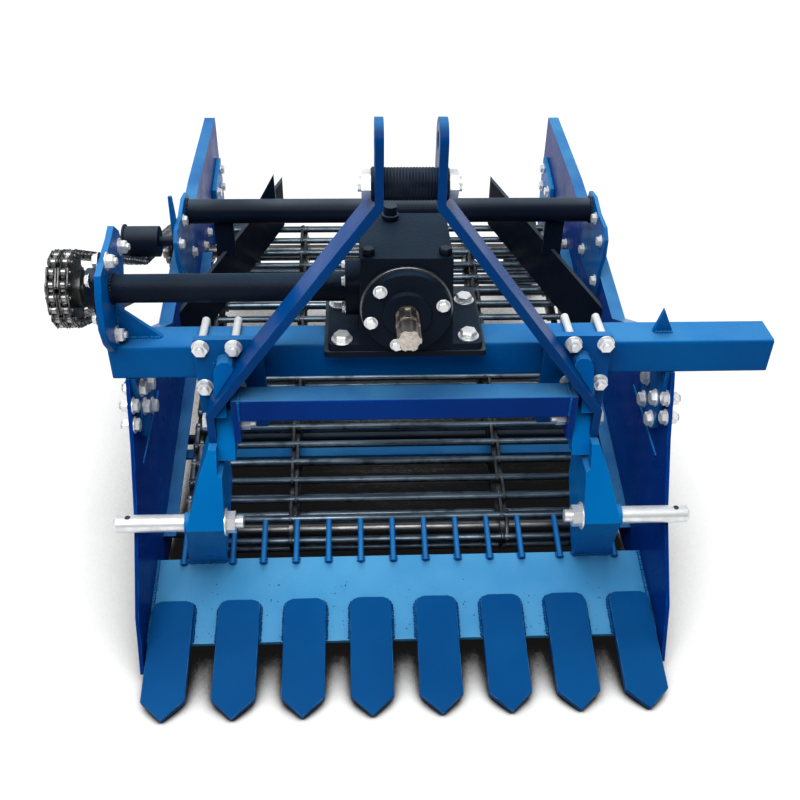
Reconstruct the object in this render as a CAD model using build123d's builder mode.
from build123d import *
import math
import os

os.makedirs("parts", exist_ok=True)

# All sizes are millimetres. The machine is laid out with x to the right as
# seen from the tractor, y away from the tractor and z up, and the tooth tips
# touch the ground at y = 0. The whole machine is then shifted by shift_x and
# shift_y so that the middle of its box stands over the origin.

# Main widths
plate_in_x = 427.0
plate_t = 6.0
arm_out_x = 344.0
arm_w = 60.0
arm_in_x = arm_out_x - arm_w
arm_step_x = 320.0
arm_foot_in_x = 308.0
arm_foot_out_x = 374.0
nose_y = 176.0
arm_slope = 2.37
step_z = 326.0
heel_gap = 2.0
cheek_low_z = 340.0
cheek_top_z = 414.0
cheek_set = 20.0
pin_boss = 3.0
pin_boss_r = 17.0
arm_heel = 16.0
arm_heel_rise = 35.0

# Beam: square tube across the machine
beam = 60.0
beam_wall = 5.0
beam_front_y = 316.0
beam_bottom_z = 440.0
beam_left_x = -452.0
beam_right_x = 580.0
beam_back_y = beam_front_y + beam
beam_top_z = beam_bottom_z + beam

# Blade and teeth
blade_angle = 15.0
blade_t = 10.0
blade_front_d = 132.0
blade_back_d = 290.0
tooth_count = 8
tooth_pitch = 111.0
tooth_w = 70.0
tooth_t = 12.0
tooth_point = 32.0
tooth_len = 205.0
tooth_root_r = 14.0
finger_d = 10.0
finger_seat = 14.0
finger_reach = 72.0
finger_start_d = blade_back_d - finger_seat
finger_end_d = blade_back_d + finger_reach
finger_pitch = 57.0
finger_shift = -14.0
finger_side_x = 296.0
finger_outer_x = 380.0

# Lower hitch pins
pin_y = 196.0
pin_z = 246.0
pin_d = 28.0
pin_len = 110.0
pin_shank_d = 20.0
pin_nut_r = 18.0
pin_nut_t = 16.0
pin_end = 12.0
pin_tip = 3.0

# Mast bars
mast_w = 60.0
mast_t = 12.0
mast_gap_y = 0.5
mast_top_x = 41.0
mast_height = 596.0
mast_eye_z = pin_z + mast_height
mast_bend_z = mast_eye_z - 79.0
mast_eye_d = 25.5
mast_foot_x = 297.0
mast_foot_z = 388.0
mast_foot_rise = 31.0
mast_bolt_d = 16.0
mast_heel = 18.0
spacer_z = mast_eye_z - 59.0
spacer_d = 42.0
spacer_bore = 20.0
spacer_nut_r = 19.5
spacer_nut_t = 17.0
spacer_end = 22.0

# Lug plates that clamp the arms to the beam
lug_t = 12.0
lug_out_x = 320.0
lug_in_x = 215.0
lug_bottom_z = 352.0
lug_top_z = 520.0
ubolt_d = 12.0
ubolt_out_x = 309.0
ubolt_nut_r = 12.0
ubolt_nut_t = 10.0
ubolt_end = 16.0
nut_gap = 1.0
horn_gap = 4.0
cheek_in_x = 264.0
cheek_gap = 1.0

# Lower cross bar between the arms
bar = 40.0
bar_front_y = 247.0
bar_bottom_z = 406.0

# Gearbox
box_half_w = 71.0
box_front_y = 284.0
box_back_y = 438.0
base_t = 10.0
base_front_y = 282.0
base_half_w = 122.0
base_back_y = 470.0
foot_t = 12.0
foot_in_x = 58.0
foot_out_x = 116.0
foot_front_y = 284.0
foot_back_y = 428.0
box_h = 153.0
box_bottom_z = beam_top_z + base_t
shaft_z = 584.0
side_shaft_y = 348.0
cover_r = 65.0
cover_t = 16.0
cover_hub_r = 36.0
cover_hub_t = 6.0
pto_d = 34.9
pto_root_d = 29.0
pto_front_y = 198.0
pto_back_y = 340.0
pto_gap = 0.5
pto_key_w = 8.5
pto_spline = 60.0
pto_groove = 8.0
pto_groove_at = 38.0
side_tube_d = 43.0
side_tube_in_d = 33.0
boss_r = 42.0
boss_t = 18.0
plug_r = 10.0
plug_t = 22.0
plug_x = -20.0
plug_from_back = 25.0

# Drive bracket, bearing and chain on the left
bracket_t = 10.0
bracket_in_x = 436.0
bearing_r = 40.0
bearing_t = 24.0
bearing_foot_t = 10.0
bearing_corner = 14.0
stub_d = 25.0
chain_pitch = 19.05
chain_roller_d = 11.9
chain_link_h = 16.0
chain_link_t = 2.5
chain_mid_x = 500.0
chain_row = 17.0
drive_teeth = 17
driven_teeth = 19
sprocket_t = 9.0
hub_half = 24.0
hub_r = 28.0
stub_end_x = 532.0

# Web: a loop of rods, hooked together in four rows of links
rod_d = 14.0
rod_end_gap = 35.0
rod_half = plate_in_x - rod_end_gap
rod_count = 44
web_front_y = 378.0
web_front_z = 47.0
web_front_r = 36.0
web_back_y = 1150.0
web_back_z = 215.0
web_back_r = 55.0
link_row_w = 14.0
link_row_t = 6.0
link_edge = 8.0
link_out_x = rod_half - link_edge
link_mid_x = 195.0
web_shaft_d = 30.0
front_axle_r = 12.0
shaft_bearing = 96.0
shaft_bearing_r = 34.0
shaft_bearing_t = 10.0
shaft_bearing_boss = 14.0
support_r = 24.0
support_axle_r = 10.0
support_extra = 4.0
support_shares = (0.27, 0.53, 0.8)

# Rear of the frame
tube_to_rear = 233.0
tube_y = web_back_y - tube_to_rear
tube_d = 50.0
tube_in_d = 42.0
rear_plate_t = 8.0
idler_to_rear = 356.0
idler_y = web_back_y - idler_to_rear
idler_over = 50.2
idler_z = web_back_z + idler_to_rear * (shaft_z - web_back_z) / (web_back_y - side_shaft_y) + idler_over
tube_over_idler = 4.0
tube_z = idler_z + tube_over_idler
idler_r = 30.0
idler_pin_r = 10.0
idler_rim = 4.0
fin_x = 240.0
fin_w = 46.0
fin_h = 68.0
fin_t = 8.0
guide_t = 8.0
guide_h = 110.0
guide_over = 11.0
guide_run = 405.0
guide_back_x = 240.0
guide_hanger_w = 40.0
guide_hanger_seat = 14.0

# Rear wheels and the ends of the side plates
wheel_y = web_back_y + 220.0
rear_end_y = wheel_y + 110.0
wheel_r = 100.0
wheel_w = 56.0
wheel_in_x = 338.0
wheel_rim_t = 8.0
axle_d = 24.0
axle_gap = 0.4
wheel_hub_r = 24.0
wheel_disc_t = 8.0
axle_end = 8.0
arm_plate_t = 10.0


mast_y = beam_front_y - lug_t - mast_gap_y - mast_w / 2
shift_x = (beam_right_x - stub_end_x) / 2
shift_y = (rear_end_y - tooth_t * math.sin(math.radians(blade_angle))) / 2


def yz(x):
    """Plane at x; drawn in y and z, pushed out towards +x."""
    place = (x - shift_x, -shift_y, 0)
    return Plane(origin=place, x_dir=(0, 1, 0), z_dir=(1, 0, 0))


def xz(y):
    """Plane at y; drawn in x and z, pushed out towards the tractor."""
    place = (-shift_x, y - shift_y, 0)
    return Plane(origin=place, x_dir=(1, 0, 0), z_dir=(0, -1, 0))


def xy(z):
    """Plane at z; drawn in x and y, pushed out upwards."""
    return Plane(origin=(-shift_x, -shift_y, z))


blade_dir = (0, math.cos(math.radians(blade_angle)), math.sin(math.radians(blade_angle)))
blade_up = (0, -math.sin(math.radians(blade_angle)), math.cos(math.radians(blade_angle)))
blade_top = Plane(origin=(-shift_x, -shift_y, 0), x_dir=(1, 0, 0), z_dir=blade_up)


def on_blade(d, lift=0.0):
    """The y and z of a point at distance d up the blade."""
    a = math.radians(blade_angle)
    return (d * math.cos(a) - lift * math.sin(a), d * math.sin(a) + lift * math.cos(a))


def hexagon(r):
    """Corner points of a hexagon, flats up."""
    return [(r * math.cos(k * math.pi / 3), r * math.sin(k * math.pi / 3)) for k in range(6)]


def moved(points, dx, dy):
    """The same points shifted on the plane."""
    return [(p[0] + dx, p[1] + dy) for p in points]


def strip(points, t):
    """Outline of a band of thickness t below a line of points."""
    low = []
    for k, p in enumerate(points):
        before = points[max(k - 1, 0)]
        after = points[min(k + 1, len(points) - 1)]
        length = math.hypot(after[0] - before[0], after[1] - before[1])
        nx = (after[1] - before[1]) / length
        ny = -(after[0] - before[0]) / length
        low.append((p[0] + nx * t, p[1] + ny * t))
    return points + low[::-1]


def belt_path(circles):
    """Straight and curved pieces of a belt round circles listed clockwise.

    Each circle is (y, z, r, side) with side 1 where the belt wraps the
    outside and -1 where the circle presses on the belt from outside.
    """
    spans = []
    n = len(circles)
    for k in range(n):
        ay, az, ar, a_side = circles[k]
        by, bz, br, b_side = circles[(k + 1) % n]
        dy = by - ay
        dz = bz - az
        far = math.hypot(dy, dz)
        turn = math.asin((a_side * ar - b_side * br) / far)
        heading = math.atan2(dz, dy) - turn
        ny = -math.sin(heading)
        nz = math.cos(heading)
        start = (ay + a_side * ar * ny, az + a_side * ar * nz)
        end = (by + b_side * br * ny, bz + b_side * br * nz)
        spans.append((start, end))
    path = []
    for k in range(n):
        start, end = spans[k]
        path.append(("line", start, end, math.dist(start, end)))
        cy, cz, r, side = circles[(k + 1) % n]
        go = spans[(k + 1) % n][0]
        a0 = math.atan2(end[1] - cz, end[0] - cy)
        a1 = math.atan2(go[1] - cz, go[0] - cy)
        sweep = a0 - a1 if side > 0 else a1 - a0
        sweep = sweep % (2 * math.pi)
        path.append(("arc", (cy, cz, r, a0, -side), sweep, r * sweep))
    return path


def loop_points(circles, count):
    """Evenly spaced points on a belt round circles listed clockwise."""
    path = belt_path(circles)
    total = sum(piece[3] for piece in path)
    out = []
    for k in range(count):
        s = total * k / count
        for piece in path:
            if s <= piece[3]:
                break
            s -= piece[3]
        if piece[0] == "line":
            f = s / piece[3]
            out.append((piece[1][0] + (piece[2][0] - piece[1][0]) * f,
                        piece[1][1] + (piece[2][1] - piece[1][1]) * f))
        else:
            cy, cz, r, a0, way = piece[1]
            a = a0 + way * s / r
            out.append((cy + r * math.cos(a), cz + r * math.sin(a)))
    return out


def belt_outline(circles, grow, step):
    """Corners of the belt's line moved out by grow, a step apart on the curves."""
    out = []
    for piece in belt_path([(y, z, r + side * grow, side) for y, z, r, side in circles]):
        if piece[0] == "arc":
            cy, cz, r, a0, way = piece[1]
            corners = max(1, round(piece[3] / step))
            for k in range(corners + 1):
                a = a0 + way * piece[2] * k / corners
                out.append((cy + r * math.cos(a), cz + r * math.sin(a)))
    return out


# The beam
with BuildPart() as cross_beam:
    with BuildSketch(yz(beam_left_x)):
        with Locations(((beam_front_y + beam_back_y) / 2, (beam_bottom_z + beam_top_z) / 2)):
            RectangleRounded(beam, beam, 5)
            RectangleRounded(beam - 2 * beam_wall, beam - 2 * beam_wall, 2, mode=Mode.SUBTRACT)
    extrude(amount=beam_right_x - beam_left_x)
cross_beam.part.label = "cross_beam"
export_step(cross_beam.part, "parts/cross_beam.step")

# Side plates: upright sheets, notched under and behind the beam, with a flange
# outside the top edge and a ledge inside that closes the gap beside the web
top_edge = [(beam_back_y + 6, 470), (665, 322), (900, 362), (web_back_y, 398), (rear_end_y - 1, 420)]
plate_points = [(84, 14), (120, 112), (212, 230), (272, 340), (306, 420), (beam_front_y, beam_bottom_z),
                (beam_back_y, beam_bottom_z), (beam_back_y, 474)] + top_edge
plate_points = plate_points + [(rear_end_y, 412), (rear_end_y, 226), (web_back_y, 134), (378, 8), (200, 10)]
flange_w = 20.0
flange_t = 5.0
ledge_w = 22.0
ledge_t = 4.0
ledge_edge = [(340, 73), (web_back_y - 70, web_back_z + 37)]

with BuildPart() as left_side_plate:
    with BuildSketch(yz(-plate_in_x - plate_t)):
        Polygon(*plate_points, align=None)
        with Locations((web_back_y, web_back_z)):
            Circle(web_shaft_d / 2, mode=Mode.SUBTRACT)
    extrude(amount=plate_t)
    with BuildSketch(yz(-plate_in_x - plate_t - flange_w)):
        Polygon(*strip(top_edge, flange_t), align=None)
    extrude(amount=flange_w)
    with BuildSketch(yz(-plate_in_x)):
        Polygon(*strip(ledge_edge, ledge_t), align=None)
    extrude(amount=ledge_w)
left_side_plate.part.label = "left_side_plate"
export_step(left_side_plate.part, "parts/left_side_plate.step")

with BuildPart() as right_side_plate:
    with BuildSketch(yz(plate_in_x)):
        Polygon(*plate_points, align=None)
        with Locations((web_back_y, web_back_z)):
            Circle(web_shaft_d / 2, mode=Mode.SUBTRACT)
    extrude(amount=plate_t)
    with BuildSketch(yz(plate_in_x + plate_t)):
        Polygon(*strip(top_edge, flange_t), align=None)
    extrude(amount=flange_w)
    with BuildSketch(yz(plate_in_x)):
        Polygon(*strip(ledge_edge, ledge_t), align=None)
    extrude(amount=-ledge_w)
right_side_plate.part.label = "right_side_plate"
export_step(right_side_plate.part, "parts/right_side_plate.step")

# Hanger brackets: carry the side plates on the beam, with a flat stay from
# plate to plate between the two runs of the web
hanger_points = [(beam_front_y + 2, beam_bottom_z), (beam_back_y, beam_bottom_z),
                 (412, 388), (412, 326), (400, 314), (beam_front_y + 12, 314), (beam_front_y + 2, 326)]
stay_front_y = 528.0
stay_w = 26.0
stay_t = 6.0
stay_z = 95.0
with BuildPart() as hanger_brackets:
    with BuildSketch(yz(-plate_in_x)):
        Polygon(*hanger_points, align=None)
    extrude(amount=rear_plate_t)
    with BuildSketch(yz(plate_in_x - rear_plate_t)):
        Polygon(*hanger_points, align=None)
    extrude(amount=rear_plate_t)
    with BuildSketch(yz(-plate_in_x)):
        with Locations((stay_front_y + stay_w / 2, stay_z)):
            Rectangle(stay_w, stay_t)
    extrude(amount=2 * plate_in_x)
hanger_brackets.part.label = "hanger_brackets"
export_step(hanger_brackets.part, "parts/hanger_brackets.step")

# Blade plate: sloping plate welded between the side plates
with BuildPart() as blade_plate:
    with BuildSketch(blade_top):
        with Locations((0, (blade_front_d + blade_back_d) / 2)):
            Rectangle(2 * plate_in_x, blade_back_d - blade_front_d)
    extrude(amount=-blade_t)
blade_plate.part.label = "blade_plate"
export_step(blade_plate.part, "parts/blade_plate.step")

# Digging teeth: eight flat pointed bars welded on the blade
with BuildPart() as digging_teeth:
    with BuildSketch(blade_top):
        for k in range(tooth_count):
            tx = (k - (tooth_count - 1) / 2) * tooth_pitch
            h = tooth_w / 2
            r = tooth_root_r
            Polygon((tx, 0), (tx + h, tooth_point), (tx + h, tooth_len - r),
                    (tx + h - r * 0.3, tooth_len - r * 0.3), (tx + h - r, tooth_len),
                    (tx - h + r, tooth_len), (tx - h + r * 0.3, tooth_len - r * 0.3),
                    (tx - h, tooth_len - r), (tx - h, tooth_point), align=None)
    extrude(amount=tooth_t)
digging_teeth.part.label = "digging_teeth"
export_step(digging_teeth.part, "parts/digging_teeth.step")

# Lifting fingers: thin rods that bridge the blade and the web
finger_xs = [k * finger_pitch + finger_shift for k in range(-4, 5)]
finger_xs = finger_xs + [-finger_side_x, finger_side_x + finger_shift, -finger_outer_x, finger_outer_x]
with BuildPart() as lifting_fingers:
    fy, fz = on_blade(finger_start_d, finger_d / 2)
    face = Plane(origin=(-shift_x, fy - shift_y, fz), x_dir=(1, 0, 0), z_dir=blade_dir)
    with BuildSketch(face):
        with Locations(*[(x, 0) for x in finger_xs]):
            Circle(finger_d / 2)
    extrude(amount=finger_end_d - finger_start_d)
lifting_fingers.part.label = "lifting_fingers"
export_step(lifting_fingers.part, "parts/lifting_fingers.step")

# Lower arms: a boxed leg from the mast foot down to the rear edge of the blade,
# with a cheek beside it that the mast foot and the cross bar are bolted to
lug_front_y = beam_front_y - lug_t
mast_in_x = mast_foot_x - mast_t / 2
mast_side_x = mast_foot_x + mast_t / 2
shoulder_z = mast_foot_z - mast_heel - heel_gap
foot_a = on_blade(blade_back_d - 6)
foot_b = on_blade(blade_back_d)
foot_c = on_blade(blade_back_d, -blade_t)


def arm_front_y(z):
    """The y of the arm's sloping front face at height z."""
    return nose_y + (z - pin_z) / arm_slope


arm_side = [foot_a, (nose_y, pin_z), (arm_front_y(shoulder_z), shoulder_z), (lug_front_y, shoulder_z),
            (lug_front_y, 240), (foot_b[0] + arm_heel, foot_b[1] + arm_heel_rise), foot_c, foot_b]
arm_face = [(arm_foot_in_x, 60), (arm_in_x, pin_z), (arm_in_x, step_z), (mast_in_x, step_z + 4),
            (mast_in_x, shoulder_z + 1), (mast_side_x, shoulder_z + 1), (arm_step_x, step_z),
            (arm_out_x, pin_z), (arm_foot_out_x, 60)]
cheek_side = [(arm_front_y(cheek_low_z) + cheek_set, cheek_low_z),
              (arm_front_y(cheek_top_z) + cheek_set, cheek_top_z),
              (lug_front_y, cheek_top_z), (lug_front_y, cheek_low_z)]

with BuildPart() as left_lower_arm:
    with BuildSketch(yz(-arm_foot_out_x)):
        Polygon(*arm_side, align=None)
    extrude(amount=arm_foot_out_x - arm_in_x)
    with BuildSketch(xz(beam_back_y)):
        Polygon(*[(-p[0], p[1]) for p in arm_face], align=None)
    extrude(amount=beam_back_y, mode=Mode.INTERSECT)
    with BuildSketch(yz(-mast_in_x)):
        Polygon(*cheek_side, align=None)
    extrude(amount=mast_in_x - cheek_in_x)
    with BuildSketch(yz(-arm_out_x - pin_boss)):
        with Locations((pin_y, pin_z)):
            Circle(pin_boss_r)
    extrude(amount=pin_boss + arm_w / 2)
    with BuildSketch(yz(-arm_out_x - pin_boss)):
        with Locations((pin_y, pin_z)):
            Circle(pin_shank_d / 2)
    extrude(amount=pin_boss + arm_w, mode=Mode.SUBTRACT)
    with BuildSketch(yz(-mast_in_x)):
        with Locations((mast_y, mast_foot_z)):
            Circle(mast_bolt_d / 2)
    extrude(amount=mast_in_x - cheek_in_x, mode=Mode.SUBTRACT)
left_lower_arm.part.label = "left_lower_arm"
export_step(left_lower_arm.part, "parts/left_lower_arm.step")

with BuildPart() as right_lower_arm:
    with BuildSketch(yz(arm_in_x)):
        Polygon(*arm_side, align=None)
    extrude(amount=arm_foot_out_x - arm_in_x)
    with BuildSketch(xz(beam_back_y)):
        Polygon(*arm_face, align=None)
    extrude(amount=beam_back_y, mode=Mode.INTERSECT)
    with BuildSketch(yz(cheek_in_x)):
        Polygon(*cheek_side, align=None)
    extrude(amount=mast_in_x - cheek_in_x)
    with BuildSketch(yz(arm_out_x - arm_w / 2)):
        with Locations((pin_y, pin_z)):
            Circle(pin_boss_r)
    extrude(amount=pin_boss + arm_w / 2)
    with BuildSketch(yz(arm_in_x)):
        with Locations((pin_y, pin_z)):
            Circle(pin_shank_d / 2)
    extrude(amount=pin_boss + arm_w, mode=Mode.SUBTRACT)
    with BuildSketch(yz(cheek_in_x)):
        with Locations((mast_y, mast_foot_z)):
            Circle(mast_bolt_d / 2)
    extrude(amount=mast_in_x - cheek_in_x, mode=Mode.SUBTRACT)
right_lower_arm.part.label = "right_lower_arm"
export_step(right_lower_arm.part, "parts/right_lower_arm.step")

# Lug plates on the front of the beam, each with a round topped horn that
# leans like the arm below it and has a slot for the mast bar
mast_line = [(mast_top_x, mast_eye_z + mast_w / 2), (mast_top_x, mast_bend_z),
             (mast_foot_x, mast_foot_z + mast_foot_rise), (mast_foot_x, mast_foot_z - mast_heel)]


def mast_shape(grow=0.0):
    """Front outline of the right mast bar, wider by grow on each side."""
    h = mast_t / 2 + grow
    top, bend, rise, foot = mast_line
    return [(top[0] - h, top[1]), (top[0] + h, top[1]), (bend[0] + h, bend[1] + 3),
            (rise[0] + h, rise[1] + 3), (foot[0] + h, foot[1]), (foot[0] - h, foot[1]),
            (rise[0] - h, rise[1] - 3), (bend[0] - h, bend[1] - 3)]


horn_low_z = cheek_top_z + 1
horn_top_z = 494.0
horn_side = [(arm_front_y(horn_low_z), horn_low_z), (arm_front_y(horn_top_z), horn_top_z),
             (lug_front_y, horn_top_z), (lug_front_y, horn_low_z)]
ubolt_zs = [beam_bottom_z - ubolt_d / 2, beam_top_z + ubolt_d / 2]
mast_slope = (mast_foot_x - mast_top_x) / (mast_bend_z - mast_foot_z - mast_foot_rise)
ubolt_mid_z = (beam_bottom_z + beam_top_z) / 2
ubolt_in_x = round(mast_foot_x - (ubolt_mid_z - mast_foot_z - mast_foot_rise) * mast_slope)
horn_in_x = max(ubolt_in_x + ubolt_nut_r + nut_gap, cheek_in_x + horn_gap)
horn_face = [(horn_in_x, horn_low_z), (horn_in_x, 448), (258, 472), (258, 483), (261, 490), (267, horn_top_z),
             (277, horn_top_z), (284, 490), (288, 482), (290, 450), (290, horn_low_z)]
with BuildPart() as clamp_lugs:
    for side in (-1, 1):
        with BuildSketch(yz(side * lug_out_x)):
            Polygon(*horn_side, align=None)
        extrude(amount=-side * (lug_out_x - lug_in_x))
    with BuildSketch(xz(lug_front_y)):
        for side in (-1, 1):
            Polygon(*[(side * p[0], p[1]) for p in horn_face], align=None)
    extrude(amount=lug_front_y - nose_y, mode=Mode.INTERSECT)
    with BuildSketch(xz(lug_front_y)):
        for side in (-1, 1):
            Polygon(*[(side * p[0], p[1]) for p in mast_shape(cheek_gap)], align=None)
    extrude(amount=lug_front_y - nose_y, mode=Mode.SUBTRACT)
    with BuildSketch(xz(beam_front_y)):
        for side in (-1, 1):
            with Locations((side * (lug_out_x + lug_in_x) / 2, (lug_bottom_z + lug_top_z) / 2)):
                RectangleRounded(lug_out_x - lug_in_x, lug_top_z - lug_bottom_z, 6)
            for x in (ubolt_out_x, ubolt_in_x):
                with Locations(*[(side * x, z) for z in ubolt_zs]):
                    Circle(ubolt_d / 2, mode=Mode.SUBTRACT)
    extrude(amount=lug_t)
clamp_lugs.part.label = "clamp_lugs"
export_step(clamp_lugs.part, "parts/clamp_lugs.step")

# U bolts: round rods bent round the back of the beam, with nuts on the lugs
nut_y = lug_front_y
end_y = lug_front_y - ubolt_end
back_y = beam_back_y + ubolt_d / 2
ubolt_xs = [-ubolt_out_x, -ubolt_in_x, ubolt_in_x, ubolt_out_x]
with BuildPart() as u_bolts:
    for x in ubolt_xs:
        with BuildSketch(xz(back_y)):
            with Locations(*[(x, z) for z in ubolt_zs]):
                Circle(ubolt_d / 2)
        extrude(amount=back_y - end_y)
        with BuildSketch(xy(ubolt_zs[0])):
            with Locations((x, back_y)):
                Circle(ubolt_d / 2)
        extrude(amount=ubolt_zs[1] - ubolt_zs[0])
        for z in ubolt_zs:
            with BuildSketch(xz(nut_y)):
                Polygon(*moved(hexagon(ubolt_nut_r), x, z), align=None)
            extrude(amount=ubolt_nut_t)
u_bolts.part.label = "u_bolts"
export_step(u_bolts.part, "parts/u_bolts.step")

# Hitch pins: shouldered pins with a hexagon nut inside the arm
pin_seat_x = arm_out_x + pin_boss
pin_shank = pin_seat_x - arm_in_x + pin_nut_t + pin_end
with BuildPart() as hitch_pins:
    for side in (-1, 1):
        with BuildSketch(yz(side * pin_seat_x)):
            with Locations((pin_y, pin_z)):
                Circle(pin_d / 2)
        extrude(amount=side * (pin_len - pin_tip))
        with BuildSketch(yz(side * (pin_seat_x + pin_len - pin_tip))):
            with Locations((pin_y, pin_z)):
                Circle(pin_d / 2)
        extrude(amount=side * pin_tip, taper=40)
        with BuildSketch(yz(side * pin_seat_x)):
            with Locations((pin_y, pin_z)):
                Circle(pin_shank_d / 2)
        extrude(amount=-side * pin_shank)
        with BuildSketch(yz(side * arm_in_x)):
            Polygon(*moved(hexagon(pin_nut_r), pin_y, pin_z), align=None)
        extrude(amount=-side * pin_nut_t)
hitch_pins.part.label = "hitch_pins"
export_step(hitch_pins.part, "parts/hitch_pins.step")

# Lower cross bar: square tube with an end plate bolted to each arm cheek
end_t = 10.0
end_low_z = 364.0
with BuildPart() as lower_cross_bar:
    with BuildSketch(yz(-cheek_in_x + end_t)):
        with Locations((bar_front_y + bar / 2, bar_bottom_z + bar / 2)):
            RectangleRounded(bar, bar, 4)
            RectangleRounded(bar - 8, bar - 8, 1.5, mode=Mode.SUBTRACT)
    extrude(amount=2 * (cheek_in_x - end_t))
    for side in (-1, 1):
        with BuildSketch(yz(side * cheek_in_x)):
            with Locations((bar_front_y + bar / 2, (end_low_z + bar_bottom_z + bar) / 2)):
                Rectangle(bar, bar_bottom_z + bar - end_low_z)
            with Locations((mast_y, mast_foot_z)):
                Circle(mast_bolt_d / 2, mode=Mode.SUBTRACT)
        extrude(amount=-side * end_t)
lower_cross_bar.part.label = "lower_cross_bar"
export_step(lower_cross_bar.part, "parts/lower_cross_bar.step")

# Mast bars: flat bars on edge, upright at the eye and then splayed to the arms
half_t = mast_t / 2

with BuildPart() as right_mast_bar:
    with BuildSketch(xz(mast_y + mast_w / 2)):
        Polygon(*mast_shape(), align=None)
    extrude(amount=mast_w)
    with BuildSketch(yz(mast_top_x - half_t)):
        with Locations((mast_y, mast_eye_z + mast_w / 4)):
            Rectangle(mast_w + 2, mast_w / 2 + 1)
        with Locations((mast_y, mast_eye_z)):
            Circle(mast_w / 2, mode=Mode.SUBTRACT)
    extrude(amount=mast_t, mode=Mode.SUBTRACT)
    with BuildSketch(yz(0)):
        with Locations((mast_y, mast_eye_z)):
            Circle(mast_eye_d / 2)
        with Locations((mast_y, spacer_z)):
            Circle(spacer_bore / 2)
    extrude(amount=mast_top_x + 20, mode=Mode.SUBTRACT)
    with BuildSketch(yz(mast_foot_x - 20)):
        with Locations((mast_y, mast_foot_z)):
            Circle(mast_bolt_d / 2)
    extrude(amount=40, mode=Mode.SUBTRACT)
right_mast_bar.part.label = "right_mast_bar"
export_step(right_mast_bar.part, "parts/right_mast_bar.step")

with BuildPart() as left_mast_bar:
    with BuildSketch(xz(mast_y + mast_w / 2)):
        Polygon(*[(-p[0], p[1]) for p in mast_shape()], align=None)
    extrude(amount=mast_w)
    with BuildSketch(yz(-mast_top_x - half_t)):
        with Locations((mast_y, mast_eye_z + mast_w / 4)):
            Rectangle(mast_w + 2, mast_w / 2 + 1)
        with Locations((mast_y, mast_eye_z)):
            Circle(mast_w / 2, mode=Mode.SUBTRACT)
    extrude(amount=mast_t, mode=Mode.SUBTRACT)
    with BuildSketch(yz(0)):
        with Locations((mast_y, mast_eye_z)):
            Circle(mast_eye_d / 2)
        with Locations((mast_y, spacer_z)):
            Circle(spacer_bore / 2)
    extrude(amount=-mast_top_x - 20, mode=Mode.SUBTRACT)
    with BuildSketch(yz(-mast_foot_x - 20)):
        with Locations((mast_y, mast_foot_z)):
            Circle(mast_bolt_d / 2)
    extrude(amount=40, mode=Mode.SUBTRACT)
left_mast_bar.part.label = "left_mast_bar"
export_step(left_mast_bar.part, "parts/left_mast_bar.step")

# Foot bolts: one bolt through each mast foot, arm cheek and bar end
foot_head_r = 14.0
foot_head_t = 10.0
foot_nut_r = 13.5
foot_nut_t = 14.0
foot_bolt_end = 8.0
bar_end_x = cheek_in_x - end_t
with BuildPart() as foot_bolts:
    for side in (-1, 1):
        with BuildSketch(yz(side * mast_side_x)):
            with Locations((mast_y, mast_foot_z)):
                Circle(mast_bolt_d / 2)
        extrude(amount=-side * (mast_side_x - bar_end_x + foot_nut_t + foot_bolt_end))
        with BuildSketch(yz(side * mast_side_x)):
            Polygon(*moved(hexagon(foot_head_r), mast_y, mast_foot_z), align=None)
        extrude(amount=side * foot_head_t)
        with BuildSketch(yz(side * bar_end_x)):
            Polygon(*moved(hexagon(foot_nut_r), mast_y, mast_foot_z), align=None)
        extrude(amount=-side * foot_nut_t)
foot_bolts.part.label = "foot_bolts"
export_step(foot_bolts.part, "parts/foot_bolts.step")

# Mast spacer: tube held between the bars by a long bolt
mast_gap = mast_top_x - half_t
with BuildPart() as mast_spacer_tube:
    with BuildSketch(yz(-mast_gap)):
        with Locations((mast_y, spacer_z)):
            Circle(spacer_d / 2)
            Circle(spacer_bore / 2, mode=Mode.SUBTRACT)
    extrude(amount=2 * mast_gap)
mast_spacer_tube.part.label = "mast_spacer_tube"
export_step(mast_spacer_tube.part, "parts/mast_spacer_tube.step")

mast_out = mast_top_x + half_t
with BuildPart() as mast_spacer_bolt:
    with BuildSketch(yz(-mast_out - spacer_end)):
        with Locations((mast_y, spacer_z)):
            Circle(spacer_bore / 2)
    extrude(amount=2 * (mast_out + spacer_end))
    for side in (-1, 1):
        with BuildSketch(yz(side * mast_out)):
            Polygon(*moved(hexagon(spacer_nut_r), mast_y, spacer_z), align=None)
        extrude(amount=side * spacer_nut_t)
mast_spacer_bolt.part.label = "mast_spacer_bolt"
export_step(mast_spacer_bolt.part, "parts/mast_spacer_bolt.step")

# Gearbox base: plate on top of the beam that reaches out in front of it
with BuildPart() as gearbox_base:
    with BuildSketch(xy(beam_top_z)):
        with Locations((0, (base_front_y + base_back_y) / 2)):
            RectangleRounded(2 * base_half_w, base_back_y - base_front_y, 6)
    extrude(amount=base_t)
gearbox_base.part.label = "gearbox_base"
export_step(gearbox_base.part, "parts/gearbox_base.step")

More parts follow.
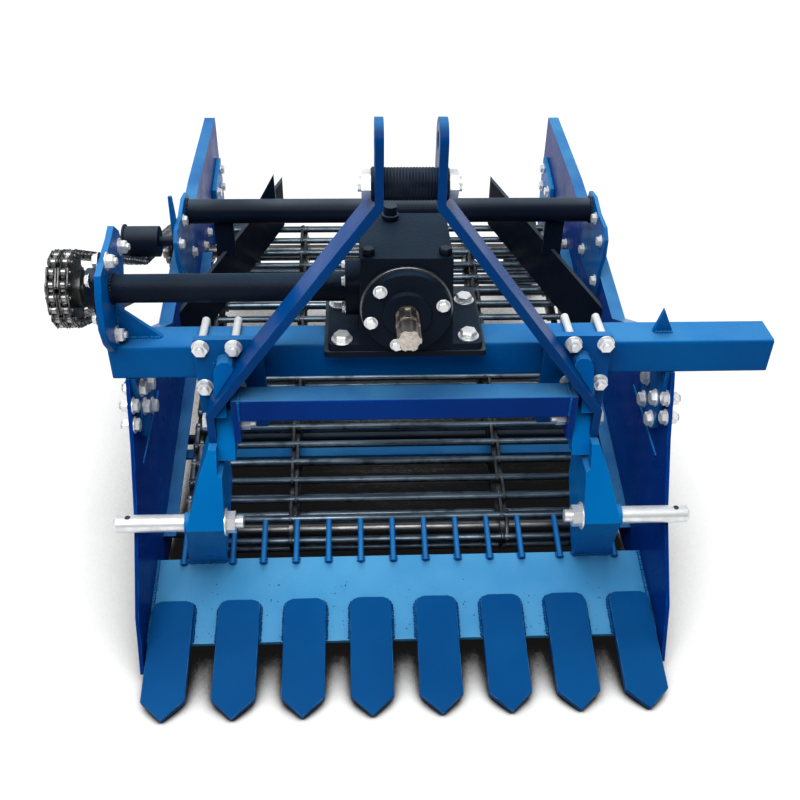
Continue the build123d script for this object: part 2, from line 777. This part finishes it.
# Gearbox housing: cast box with side feet and a boss for the side tube
box_mid_y = (box_front_y + box_back_y) / 2
box_depth = box_back_y - box_front_y
with BuildPart() as gearbox_housing:
    with BuildSketch(xy(box_bottom_z)):
        with Locations((0, box_mid_y)):
            Rectangle(2 * box_half_w, box_depth)
    extrude(amount=box_h, taper=2.0)
    with BuildSketch(xy(box_bottom_z)):
        for side in (-1, 1):
            with Locations((side * (foot_in_x + foot_out_x) / 2, (foot_front_y + foot_back_y) / 2)):
                RectangleRounded(foot_out_x - foot_in_x, foot_back_y - foot_front_y, 8)
    extrude(amount=foot_t)
    with BuildSketch(yz(-box_half_w - boss_t)):
        with Locations((side_shaft_y, shaft_z)):
            Circle(boss_r)
    extrude(amount=boss_t + 6)
    with BuildSketch(yz(-box_half_w - boss_t)):
        with Locations((side_shaft_y, shaft_z)):
            Circle(side_tube_d / 2)
    extrude(amount=boss_t, mode=Mode.SUBTRACT)
    with BuildSketch(xz(pto_back_y + 4)):
        with Locations((0, shaft_z)):
            Circle(pto_d / 2 + pto_gap)
    extrude(amount=pto_back_y + 4 - box_front_y, mode=Mode.SUBTRACT)
gearbox_housing.part.label = "gearbox_housing"
export_step(gearbox_housing.part, "parts/gearbox_housing.step")

with BuildPart() as gearbox_cover:
    with BuildSketch(xz(box_front_y)):
        with Locations((0, shaft_z)):
            Circle(cover_r)
    extrude(amount=cover_t)
    with BuildSketch(xz(box_front_y - cover_t)):
        with Locations((0, shaft_z)):
            Circle(cover_hub_r)
    extrude(amount=cover_hub_t)
    with BuildSketch(xz(box_front_y)):
        with Locations((0, shaft_z)):
            Circle(pto_d / 2 + pto_gap)
    extrude(amount=cover_t + cover_hub_t, mode=Mode.SUBTRACT)
gearbox_cover.part.label = "gearbox_cover"
export_step(gearbox_cover.part, "parts/gearbox_cover.step")

with BuildPart() as gearbox_plug:
    with BuildSketch(xy(box_bottom_z + box_h)):
        Polygon(*moved(hexagon(plug_r), plug_x, box_back_y - plug_from_back), align=None)
    extrude(amount=plug_t)
gearbox_plug.part.label = "gearbox_plug"
export_step(gearbox_plug.part, "parts/gearbox_plug.step")

# Splined input shaft with six keys and a locking groove
with BuildPart() as pto_shaft:
    with BuildSketch(xz(pto_back_y)):
        with Locations((0, shaft_z)):
            Circle(pto_d / 2)
    extrude(amount=pto_back_y - pto_front_y)
    with BuildSketch(xz(pto_front_y + pto_spline)):
        with Locations((0, shaft_z)):
            with PolarLocations(pto_d / 2 + 0.6, 6, start_angle=30):
                Rectangle(pto_d - pto_root_d, pto_key_w)
    extrude(amount=pto_spline, mode=Mode.SUBTRACT)
    with BuildSketch(xz(pto_front_y + pto_groove_at)):
        with Locations((0, shaft_z)):
            Circle(pto_d / 2 + 2)
            Circle(pto_root_d / 2, mode=Mode.SUBTRACT)
    extrude(amount=pto_groove, mode=Mode.SUBTRACT)
pto_shaft.part.label = "pto_shaft"
export_step(pto_shaft.part, "parts/pto_shaft.step")

# Side shaft tube from the gearbox to the drive bracket
with BuildPart() as side_shaft_tube:
    with BuildSketch(yz(-bracket_in_x)):
        with Locations((side_shaft_y, shaft_z)):
            Circle(side_tube_d / 2)
            Circle(side_tube_in_d / 2, mode=Mode.SUBTRACT)
    extrude(amount=bracket_in_x - box_half_w)
side_shaft_tube.part.label = "side_shaft_tube"
export_step(side_shaft_tube.part, "parts/side_shaft_tube.step")

# Drive bracket: upright plate on the beam's left end
bracket_out_x = bracket_in_x + bracket_t
bracket_edge = [(78, -20), (102, 16), (94, 48), (70, 68), (44, 60), (0, 54), (-44, 46), (-62, 16), (-74, -26),
                (-66, -56)]
with BuildPart() as drive_bracket:
    with BuildSketch(yz(-bracket_out_x)):
        Polygon((beam_front_y - 12, beam_top_z), (beam_back_y + 6, beam_top_z),
                *moved(bracket_edge, side_shaft_y, shaft_z), align=None)
        with Locations((side_shaft_y, shaft_z)):
            Circle(stub_d / 2 + 2, mode=Mode.SUBTRACT)
    extrude(amount=bracket_t)
drive_bracket.part.label = "drive_bracket"
export_step(drive_bracket.part, "parts/drive_bracket.step")

# Gussets: triangular plates on the beam beside the drive bracket and at the right
with BuildPart() as beam_gussets:
    with BuildSketch(xz(beam_front_y + 34)):
        Polygon((-bracket_in_x, beam_top_z), (-bracket_in_x + 66, beam_top_z),
                (-bracket_in_x, beam_top_z + 58), align=None)
        Polygon((plate_in_x - 34, beam_top_z), (plate_in_x - 2, beam_top_z),
                (plate_in_x - 22, beam_top_z + 42), align=None)
    extrude(amount=8)
beam_gussets.part.label = "beam_gussets"
export_step(beam_gussets.part, "parts/beam_gussets.step")

# Bearing housing on the outside of the drive bracket
with BuildPart() as bearing_housing:
    with BuildSketch(yz(-bracket_out_x)):
        with Locations((side_shaft_y, shaft_z)):
            RectangleRounded(2 * bearing_r, 2 * bearing_r, bearing_corner)
            Circle(stub_d / 2, mode=Mode.SUBTRACT)
    extrude(amount=-bearing_foot_t)
    with BuildSketch(yz(-bracket_out_x - bearing_foot_t)):
        with Locations((side_shaft_y, shaft_z)):
            Circle(bearing_r - 9)
            Circle(stub_d / 2, mode=Mode.SUBTRACT)
    extrude(amount=-(bearing_t - bearing_foot_t))
bearing_housing.part.label = "bearing_housing"
export_step(bearing_housing.part, "parts/bearing_housing.step")

with BuildPart() as drive_stub:
    with BuildSketch(yz(-bracket_in_x - 2)):
        with Locations((side_shaft_y, shaft_z)):
            Circle(stub_d / 2)
    extrude(amount=-(stub_end_x - bracket_in_x - 2))
drive_stub.part.label = "drive_stub"
export_step(drive_stub.part, "parts/drive_stub.step")

# Sprockets: two toothed discs side by side on a hub
drive_r = chain_pitch / 2 / math.sin(math.pi / drive_teeth)
driven_r = chain_pitch / 2 / math.sin(math.pi / driven_teeth)

with BuildPart() as drive_sprocket:
    for x in (chain_mid_x - chain_row / 2, chain_mid_x + chain_row / 2):
        with BuildSketch(yz(-x - sprocket_t / 2)):
            with Locations((side_shaft_y, shaft_z)):
                Circle(drive_r - chain_roller_d / 2 - 1)
                Circle(stub_d / 2, mode=Mode.SUBTRACT)
        extrude(amount=sprocket_t)
    with BuildSketch(yz(-chain_mid_x - hub_half)):
        with Locations((side_shaft_y, shaft_z)):
            Circle(hub_r)
            Circle(stub_d / 2, mode=Mode.SUBTRACT)
    extrude(amount=2 * hub_half)
drive_sprocket.part.label = "drive_sprocket"
export_step(drive_sprocket.part, "parts/drive_sprocket.step")

with BuildPart() as driven_sprocket:
    for x in (chain_mid_x - chain_row / 2, chain_mid_x + chain_row / 2):
        with BuildSketch(yz(-x - sprocket_t / 2)):
            with Locations((web_back_y, web_back_z)):
                Circle(driven_r - chain_roller_d / 2 - 1)
                Circle(web_shaft_d / 2, mode=Mode.SUBTRACT)
        extrude(amount=sprocket_t)
    with BuildSketch(yz(-chain_mid_x - hub_half)):
        with Locations((web_back_y, web_back_z)):
            Circle(hub_r)
            Circle(web_shaft_d / 2, mode=Mode.SUBTRACT)
    extrude(amount=2 * hub_half)
driven_sprocket.part.label = "driven_sprocket"
export_step(driven_sprocket.part, "parts/driven_sprocket.step")

# Drive chain: one loop of rollers, bent at each pitch, between three rows of plates
chain_circles = [(side_shaft_y, shaft_z, drive_r, 1),
                 (idler_y, idler_z, idler_r + chain_link_h / 2 + 1, -1),
                 (web_back_y, web_back_z, driven_r, 1)]
with BuildPart() as drive_chain:
    with BuildSketch(yz(-chain_mid_x - chain_row)):
        Polygon(*belt_outline(chain_circles, chain_roller_d / 2, chain_pitch), align=None)
        Polygon(*belt_outline(chain_circles, -chain_roller_d / 2, chain_pitch), align=None, mode=Mode.SUBTRACT)
    extrude(amount=2 * chain_row)
    for x in (-chain_row, 0, chain_row):
        with BuildSketch(yz(-chain_mid_x + x - chain_link_t / 2)):
            Polygon(*belt_outline(chain_circles, chain_link_h / 2, chain_pitch), align=None)
            Polygon(*belt_outline(chain_circles, -chain_link_h / 2, chain_pitch), align=None,
                    mode=Mode.SUBTRACT)
        extrude(amount=chain_link_t)
drive_chain.part.label = "drive_chain"
export_step(drive_chain.part, "parts/drive_chain.step")

# Rear brackets: plates inside the side plates that carry the rear tube, and
# a small upright chain guard on the left one
rear_low_z = 300.0
rear_edge = [(39, 7), (25, 31), (-17, 37), (-67, 23), (-123, 21), (-145, 3), (-147, -33), (-131, -73)]
guard_edge = [(-109, -33), (-105, 27), (-99, 79), (-93, 79), (-75, 7), (-77, -33)]
with BuildPart() as rear_brackets:
    for side in (-1, 1):
        with BuildSketch(yz(side * plate_in_x)):
            Polygon((tube_y - 127, rear_low_z), (tube_y + 33, rear_low_z + 10),
                    *moved(rear_edge, tube_y, tube_z), align=None)
        extrude(amount=-side * rear_plate_t)
    with BuildSketch(yz(-plate_in_x - rear_plate_t)):
        Polygon(*moved(guard_edge, tube_y, tube_z), align=None)
    extrude(amount=rear_plate_t)
rear_brackets.part.label = "rear_brackets"
export_step(rear_brackets.part, "parts/rear_brackets.step")

tube_half = plate_in_x - rear_plate_t
with BuildPart() as rear_cross_tube:
    with BuildSketch(yz(-tube_half)):
        with Locations((tube_y, tube_z)):
            Circle(tube_d / 2)
            Circle(tube_in_d / 2, mode=Mode.SUBTRACT)
    extrude(amount=2 * tube_half)
rear_cross_tube.part.label = "rear_cross_tube"
export_step(rear_cross_tube.part, "parts/rear_cross_tube.step")

# Chain idler: a flanged roller on a stub outside the left bracket
idler_in_x = plate_in_x + plate_t + flange_w + 3
idler_out_x = chain_mid_x + chain_row + 4
with BuildPart() as chain_idler:
    with BuildSketch(yz(-plate_in_x)):
        with Locations((idler_y, idler_z)):
            Circle(idler_pin_r)
    extrude(amount=-(idler_in_x - plate_in_x))
    with BuildSketch(yz(-idler_in_x)):
        with Locations((idler_y, idler_z)):
            Circle(idler_r)
    extrude(amount=-(idler_out_x - idler_in_x))
    with BuildSketch(yz(-idler_out_x)):
        with Locations((idler_y, idler_z)):
            Circle(idler_r + idler_rim)
    extrude(amount=-idler_rim)
chain_idler.part.label = "chain_idler"
export_step(chain_idler.part, "parts/chain_idler.step")

# Rear guides: two upright strips over the web that draw the crop to the middle,
# hung from the rear tube, and a small fin on the back of the tube
top_a = math.atan2(web_back_z - web_front_z, web_back_y - web_front_y)
web_span = math.hypot(web_back_z - web_front_z, web_back_y - web_front_y)
lean = math.asin((web_back_r - web_front_r) / web_span)
top_heading = top_a + lean
guide_front_y = web_back_y - guide_run
guide_lean = (plate_in_x - guide_back_x) / guide_run
guide_cut = guide_t / 2 * math.hypot(1, guide_lean) / guide_lean


def guide_low(y):
    """Height of the guides' lower edge, a clearance above the rods."""
    rise = (y - web_front_y) * math.tan(top_heading)
    return web_front_z + rise + (web_front_r + rod_d / 2) / math.cos(top_heading) + guide_over


guide_ends = (guide_front_y - guide_cut, web_back_y + guide_cut)
guide_side = [(y, guide_low(y)) for y in guide_ends] + [(y, guide_low(y) + guide_h) for y in guide_ends[::-1]]
hanger_x = plate_in_x - (tube_y - guide_front_y) * guide_lean
hanger_low = guide_low(tube_y) + guide_h - guide_hanger_seat
hanger_top = tube_z - tube_d / 2
with BuildPart() as rear_guides:
    with BuildSketch(xy(0)):
        for side in (-1, 1):
            Polygon((side * plate_in_x, guide_front_y - guide_cut), (side * plate_in_x, guide_front_y + guide_cut),
                    (side * guide_back_x, web_back_y + guide_cut), (side * guide_back_x, web_back_y - guide_cut),
                    align=None)
    extrude(amount=mast_eye_z)
    with BuildSketch(yz(-plate_in_x)):
        Polygon(*guide_side, align=None)
    extrude(amount=2 * plate_in_x, mode=Mode.INTERSECT)
    with BuildSketch(xz(tube_y + fin_t / 2)):
        with Locations(*[(side * hanger_x, (hanger_low + hanger_top) / 2) for side in (-1, 1)]):
            Rectangle(guide_hanger_w, hanger_top - hanger_low)
    extrude(amount=fin_t)
    with BuildSketch(xz(tube_y + tube_d / 2 + fin_t)):
        Polygon((-fin_x - fin_w, tube_z - 12), (-fin_x + 2, tube_z - 12), (-fin_x, tube_z + fin_h),
                align=None)
    extrude(amount=fin_t)
rear_guides.part.label = "rear_guides"
export_step(rear_guides.part, "parts/rear_guides.step")

# Web rods: round bars across the machine, all round the loop
web_circles = [(web_front_y, web_front_z, web_front_r, 1), (web_back_y, web_back_z, web_back_r, 1)]
rod_at = loop_points(web_circles, rod_count)
with BuildPart() as web_rods:
    with BuildSketch(yz(-rod_half)):
        with Locations(*rod_at):
            Circle(rod_d / 2)
    extrude(amount=2 * rod_half)
web_rods.part.label = "web_rods"
export_step(web_rods.part, "parts/web_rods.step")

# Web links: four flat rows of hooked links inside the rods
link_xs = [-link_out_x, -link_mid_x, link_mid_x, link_out_x]
link_off = rod_d / 2
with BuildPart() as web_links:
    for x in link_xs:
        with BuildSketch(yz(x - link_row_w / 2)):
            with Locations((web_front_y, web_front_z)):
                Circle(web_front_r - link_off)
            with Locations((web_back_y, web_back_z)):
                Circle(web_back_r - link_off)
            make_hull()
        extrude(amount=link_row_w)
    for x in link_xs:
        with BuildSketch(yz(x - link_row_w / 2)):
            with Locations((web_front_y, web_front_z)):
                Circle(web_front_r - link_off - link_row_t)
            with Locations((web_back_y, web_back_z)):
                Circle(web_back_r - link_off - link_row_t)
            make_hull()
        extrude(amount=link_row_w, mode=Mode.SUBTRACT)
web_links.part.label = "web_links"
export_step(web_links.part, "parts/web_links.step")

# Web drive shaft: through both side plates, with a wheel under each row of links
with BuildPart() as web_drive_shaft:
    with BuildSketch(yz(-stub_end_x)):
        with Locations((web_back_y, web_back_z)):
            Circle(web_shaft_d / 2)
    extrude(amount=stub_end_x + plate_in_x + plate_t + 30)
    for x in link_xs:
        with BuildSketch(yz(x - link_row_w / 2)):
            with Locations((web_back_y, web_back_z)):
                Circle(web_back_r - link_off - link_row_t)
        extrude(amount=link_row_w)
web_drive_shaft.part.label = "web_drive_shaft"
export_step(web_drive_shaft.part, "parts/web_drive_shaft.step")

# Front shaft: carries the front turn of the web between the side plates
with BuildPart() as web_front_shaft:
    with BuildSketch(yz(-plate_in_x)):
        with Locations((web_front_y, web_front_z)):
            Circle(front_axle_r)
    extrude(amount=2 * plate_in_x)
    for x in link_xs:
        with BuildSketch(yz(x - link_row_w / 2)):
            with Locations((web_front_y, web_front_z)):
                Circle(web_front_r - link_off - link_row_t)
        extrude(amount=link_row_w)
web_front_shaft.part.label = "web_front_shaft"
export_step(web_front_shaft.part, "parts/web_front_shaft.step")

# Shaft bearings on the outside of the side plates at the rear shaft
with BuildPart() as shaft_bearings:
    for side in (-1, 1):
        with BuildSketch(yz(side * (plate_in_x + plate_t))):
            with Locations((web_back_y, web_back_z)):
                RectangleRounded(shaft_bearing, shaft_bearing, shaft_bearing / 6)
                Circle(web_shaft_d / 2, mode=Mode.SUBTRACT)
        extrude(amount=side * shaft_bearing_t)
        with BuildSketch(yz(side * (plate_in_x + plate_t + shaft_bearing_t))):
            with Locations((web_back_y, web_back_z)):
                Circle(shaft_bearing_r)
                Circle(web_shaft_d / 2, mode=Mode.SUBTRACT)
        extrude(amount=side * shaft_bearing_boss)
shaft_bearings.part.label = "shaft_bearings"
export_step(shaft_bearings.part, "parts/shaft_bearings.step")

# Support rollers: under the top run of the web
def under_top(s):
    """Centre of a roller that touches the underside of the links, s along the run."""
    off = web_front_r - link_off - link_row_t - support_r
    y = web_front_y + s * math.cos(top_heading) - off * math.sin(top_heading)
    z = web_front_z + s * math.sin(top_heading) + off * math.cos(top_heading)
    return (y, z)


with BuildPart() as support_rollers:
    for share in support_shares:
        s = share * web_span
        with BuildSketch(yz(-plate_in_x)):
            with Locations(under_top(s)):
                Circle(support_axle_r)
        extrude(amount=2 * plate_in_x)
        for x in link_xs:
            with BuildSketch(yz(x - link_row_w / 2 - support_extra)):
                with Locations(under_top(s)):
                    Circle(support_r)
            extrude(amount=link_row_w + 2 * support_extra)
support_rollers.part.label = "support_rollers"
export_step(support_rollers.part, "parts/support_rollers.step")

# Wheel arms: plates inside the side plates with a fixed axle
arm_shape = [(wheel_y - 62, 300), (wheel_y + 68, 330), (wheel_y + 68, 250), (wheel_y + 34, 78),
             (wheel_y + 14, 66), (wheel_y - 14, 66), (wheel_y - 34, 78), (wheel_y - 66, 240)]
wheel_out_x = wheel_in_x + wheel_w
with BuildPart() as left_wheel_arm:
    with BuildSketch(yz(-plate_in_x)):
        Polygon(*arm_shape, align=None)
    extrude(amount=arm_plate_t)
    with BuildSketch(yz(-plate_in_x + arm_plate_t)):
        with Locations((wheel_y, wheel_r)):
            Circle(axle_d / 2)
    extrude(amount=plate_in_x - arm_plate_t - wheel_in_x + axle_end)
left_wheel_arm.part.label = "left_wheel_arm"
export_step(left_wheel_arm.part, "parts/left_wheel_arm.step")

with BuildPart() as right_wheel_arm:
    with BuildSketch(yz(plate_in_x - arm_plate_t)):
        Polygon(*arm_shape, align=None)
    extrude(amount=arm_plate_t)
    with BuildSketch(yz(plate_in_x - arm_plate_t)):
        with Locations((wheel_y, wheel_r)):
            Circle(axle_d / 2)
    extrude(amount=-(plate_in_x - arm_plate_t - wheel_in_x + axle_end))
right_wheel_arm.part.label = "right_wheel_arm"
export_step(right_wheel_arm.part, "parts/right_wheel_arm.step")

# Rear wheels: steel rim, disc and hub
with BuildPart() as left_rear_wheel:
    with BuildSketch(yz(-wheel_out_x)):
        with Locations((wheel_y, wheel_r)):
            Circle(wheel_r)
            Circle(wheel_r - wheel_rim_t, mode=Mode.SUBTRACT)
    extrude(amount=wheel_w)
    with BuildSketch(yz(-wheel_out_x + wheel_w / 2 - wheel_disc_t / 2)):
        with Locations((wheel_y, wheel_r)):
            Circle(wheel_r - wheel_rim_t / 2)
    extrude(amount=wheel_disc_t)
    with BuildSketch(yz(-wheel_out_x)):
        with Locations((wheel_y, wheel_r)):
            Circle(wheel_hub_r)
    extrude(amount=wheel_w)
    with BuildSketch(yz(-wheel_out_x)):
        with Locations((wheel_y, wheel_r)):
            Circle(axle_d / 2 + axle_gap)
    extrude(amount=wheel_w, mode=Mode.SUBTRACT)
left_rear_wheel.part.label = "left_rear_wheel"
export_step(left_rear_wheel.part, "parts/left_rear_wheel.step")

with BuildPart() as right_rear_wheel:
    with BuildSketch(yz(wheel_in_x)):
        with Locations((wheel_y, wheel_r)):
            Circle(wheel_r)
            Circle(wheel_r - wheel_rim_t, mode=Mode.SUBTRACT)
    extrude(amount=wheel_w)
    with BuildSketch(yz(wheel_in_x + wheel_w / 2 - wheel_disc_t / 2)):
        with Locations((wheel_y, wheel_r)):
            Circle(wheel_r - wheel_rim_t / 2)
    extrude(amount=wheel_disc_t)
    with BuildSketch(yz(wheel_in_x)):
        with Locations((wheel_y, wheel_r)):
            Circle(wheel_hub_r)
    extrude(amount=wheel_w)
    with BuildSketch(yz(wheel_in_x)):
        with Locations((wheel_y, wheel_r)):
            Circle(axle_d / 2 + axle_gap)
    extrude(amount=wheel_w, mode=Mode.SUBTRACT)
right_rear_wheel.part.label = "right_rear_wheel"
export_step(right_rear_wheel.part, "parts/right_rear_wheel.step")
